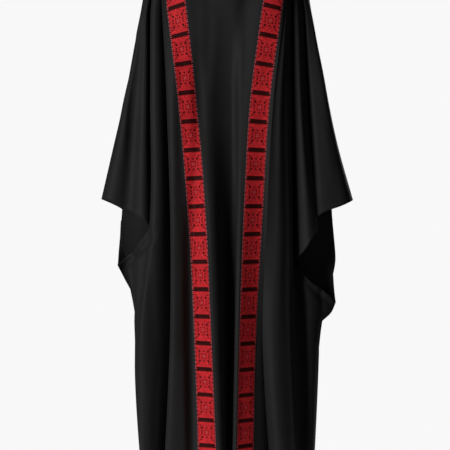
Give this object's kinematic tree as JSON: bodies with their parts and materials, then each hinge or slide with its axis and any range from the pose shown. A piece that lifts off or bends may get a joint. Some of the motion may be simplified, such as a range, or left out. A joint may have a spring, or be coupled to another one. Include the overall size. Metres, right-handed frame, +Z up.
{
  "type": "abaya",
  "caption": "Floor-length closed-front abaya with wide grown-on sleeves, hollow as worn, and a cross-stitched band down each side of the front.",
  "frame": {"origin": "between the shoulders at the base of the neck, where the wearer's shoulders carry the garment", "axes": "+Z up along the wearer's height, the front faces -Y, and +X is the wearer's left"},
  "size_m": [0.6655, 0.363, 1.4401],
  "materials": {
    "black_crepe": "matte black crepe with a fine pebbled weave",
    "red_cross_stitch": "red cotton cross stitch on a black ground"
  },
  "bodies": {
    "root": {"front": "black_crepe", "back": "black_crepe", "band_left": "red_cross_stitch", "band_right": "red_cross_stitch"}
  },
  "joints": []
}
